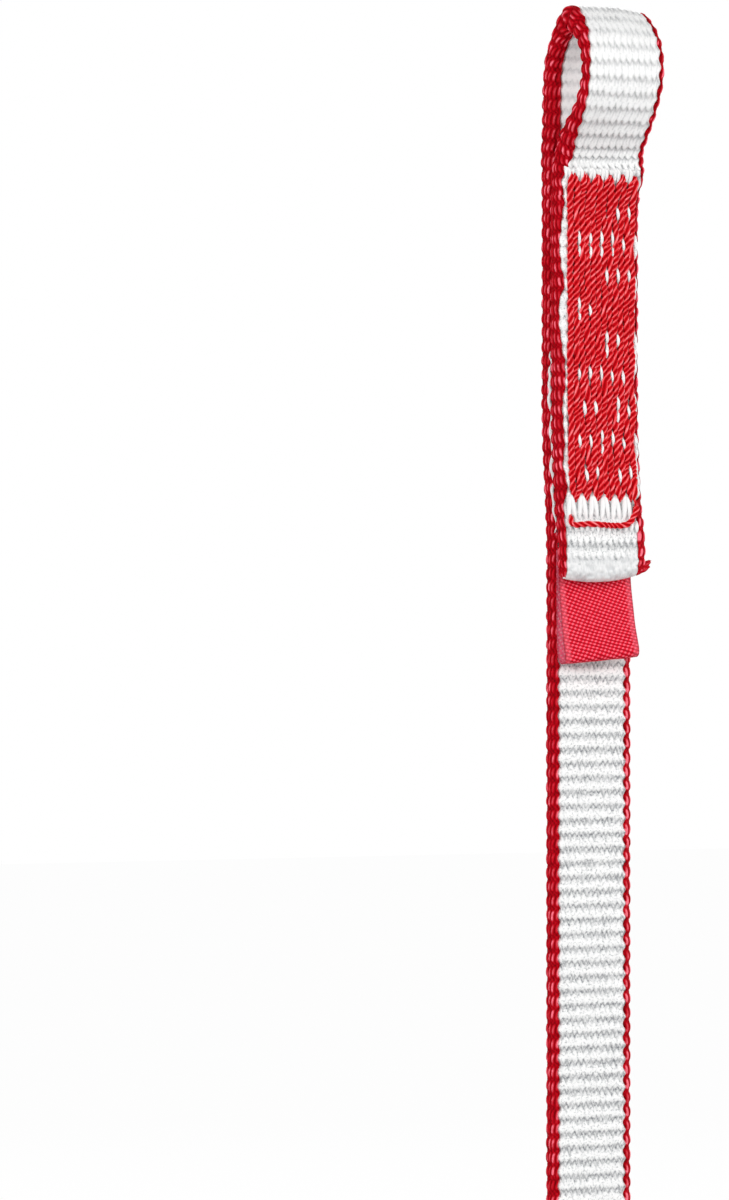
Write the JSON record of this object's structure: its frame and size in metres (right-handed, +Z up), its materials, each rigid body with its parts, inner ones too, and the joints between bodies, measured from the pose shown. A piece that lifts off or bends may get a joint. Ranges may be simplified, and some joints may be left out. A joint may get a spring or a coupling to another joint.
{
  "type": "climbing sling",
  "caption": "Short narrow webbing sling with a sewn eye at each end, stitched blocks and a folded label, to link two connectors.",
  "frame": {"origin": "inside of the upper eye's crown, where a connector's rod bears, in the middle of the webbing's width", "axes": "+Z up along the sling, which hangs from the origin; +Y out of the flat back of the webbing, so the tails and the label face -Y; X across the webbing"},
  "size_m": [0.0128, 0.013, 0.25],
  "materials": {
    "webbing_white": "woven polyethylene webbing, satin white",
    "selvage_red": "woven red selvage yarn",
    "thread_red": "twisted red sewing thread",
    "label_red": "fine red woven label cloth"
  },
  "bodies": {
    "upper_end": {"upper_eye_core": "webbing_white", "upper_eye_left_edge": "selvage_red", "upper_eye_right_edge": "selvage_red", "upper_standing_core": "webbing_white", "upper_standing_left_edge": "selvage_red", "upper_standing_right_edge": "selvage_red", "upper_tail_core": "webbing_white", "upper_tail_left_edge": "selvage_red", "upper_tail_right_edge": "selvage_red", "upper_frayed_tip": "selvage_red", "upper_needle_thread": "thread_red", "upper_bobbin_thread": "thread_red", "label_seat": "label_red"},
    "label": {"label_flap": "label_red"},
    "strand_upper": {"strand_upper_core": "webbing_white", "strand_upper_left_edge": "selvage_red", "strand_upper_right_edge": "selvage_red"},
    "strand_lower": {"strand_lower_core": "webbing_white", "strand_lower_left_edge": "selvage_red", "strand_lower_right_edge": "selvage_red"},
    "lower_end": {"lower_eye_core": "webbing_white", "lower_eye_left_edge": "selvage_red", "lower_eye_right_edge": "selvage_red", "lower_standing_core": "webbing_white", "lower_standing_left_edge": "selvage_red", "lower_standing_right_edge": "selvage_red", "lower_tail_core": "webbing_white", "lower_tail_left_edge": "selvage_red", "lower_tail_right_edge": "selvage_red", "lower_needle_thread": "thread_red", "lower_bobbin_thread": "thread_red"}
  },
  "joints": [
    {"name": "label_lift", "type": "hinge", "parent": "upper_end", "child": "label", "pos_m": [0, 0.0031, -0.0717], "axis": [-1, 0, 0], "range_deg": [0, 85]},
    {"name": "upper_bend", "type": "hinge", "parent": "upper_end", "child": "strand_upper", "pos_m": [0, 0.00472, -0.0857], "axis": [-1, 0, 0], "range_deg": [-60, 60]},
    {"name": "middle_bend", "type": "hinge", "parent": "strand_upper", "child": "strand_lower", "pos_m": [0, 0.00472, -0.1228], "axis": [-1, 0, 0], "range_deg": [-60, 60]},
    {"name": "lower_bend", "type": "hinge", "parent": "strand_lower", "child": "lower_end", "pos_m": [0, 0.00472, -0.1601], "axis": [-1, 0, 0], "range_deg": [-60, 60]}
  ]
}
